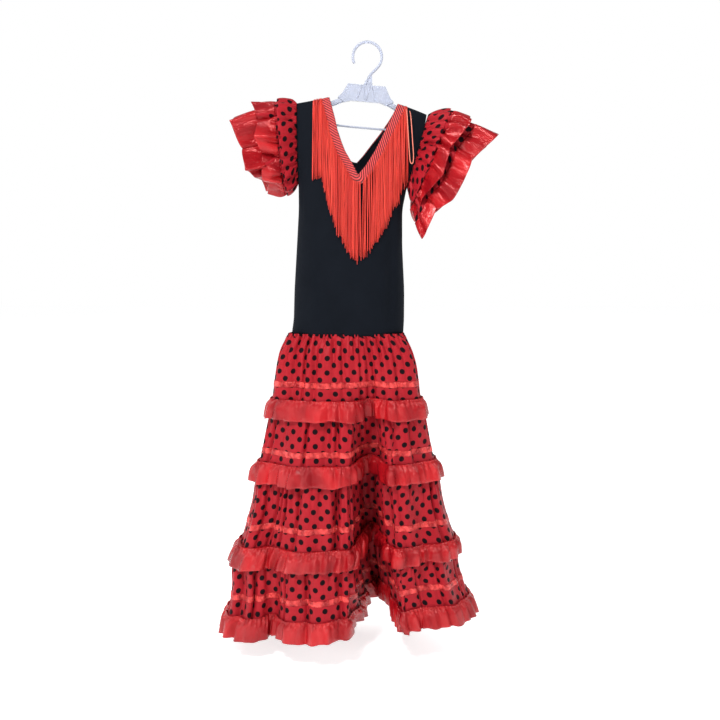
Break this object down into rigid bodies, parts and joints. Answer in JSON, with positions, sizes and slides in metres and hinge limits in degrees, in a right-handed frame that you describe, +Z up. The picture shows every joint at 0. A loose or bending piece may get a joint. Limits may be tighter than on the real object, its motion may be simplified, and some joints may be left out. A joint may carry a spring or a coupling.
{
  "type": "flamenco dress on a hanger",
  "caption": "Girl's flamenco dress on a plastic hanger: dark bodice with fringed V neck, ruffled sleeves, flared tiered skirt in dotted satin with ribbon ruffles.",
  "frame": {"origin": "the point inside the top of the hanger's hook that rests on a rail", "axes": "+Z up, front of the dress faces -Y, +X is the viewer's right when facing the front"},
  "size_m": [0.5474, 0.2646, 1.1673],
  "materials": {
    "dotted_satin": "satin printed with round black dots",
    "ribbon_satin": "glossy satin ribbon",
    "knit": "matt stretch knit",
    "braid": "twisted braid",
    "fringe": "silky cut strands",
    "loop_ribbon": "thin satin ribbon",
    "hanger_plastic": "translucent moulded plastic"
  },
  "bodies": {
    "root": {"skirt_tier_1": "dotted_satin", "skirt_tier_2": "dotted_satin", "skirt_tier_3": "dotted_satin", "skirt_tier_4": "dotted_satin", "sleeve_cap_left": "dotted_satin", "sleeve_cap_right": "dotted_satin", "frill_upper_left": "dotted_satin", "frill_upper_right": "dotted_satin", "frill_lower_left": "dotted_satin", "frill_lower_right": "dotted_satin", "narrow_ribbon_1": "ribbon_satin", "narrow_ribbon_2": "ribbon_satin", "narrow_ribbon_3": "ribbon_satin", "narrow_ribbon_4": "ribbon_satin", "ribbon_ruffle_1": "ribbon_satin", "ribbon_ruffle_2": "ribbon_satin", "ribbon_ruffle_3": "ribbon_satin", "ribbon_ruffle_4": "ribbon_satin", "frill_ribbon_upper_left": "ribbon_satin", "frill_ribbon_upper_right": "ribbon_satin", "frill_ribbon_lower_left": "ribbon_satin", "frill_ribbon_lower_right": "ribbon_satin", "bodice_front": "knit", "bodice_back": "knit", "braid_front": "braid", "braid_back": "braid", "fringe_front": "fringe", "fringe_back": "fringe", "hanger_loop": "loop_ribbon", "hanger": "hanger_plastic"}
  },
  "joints": []
}
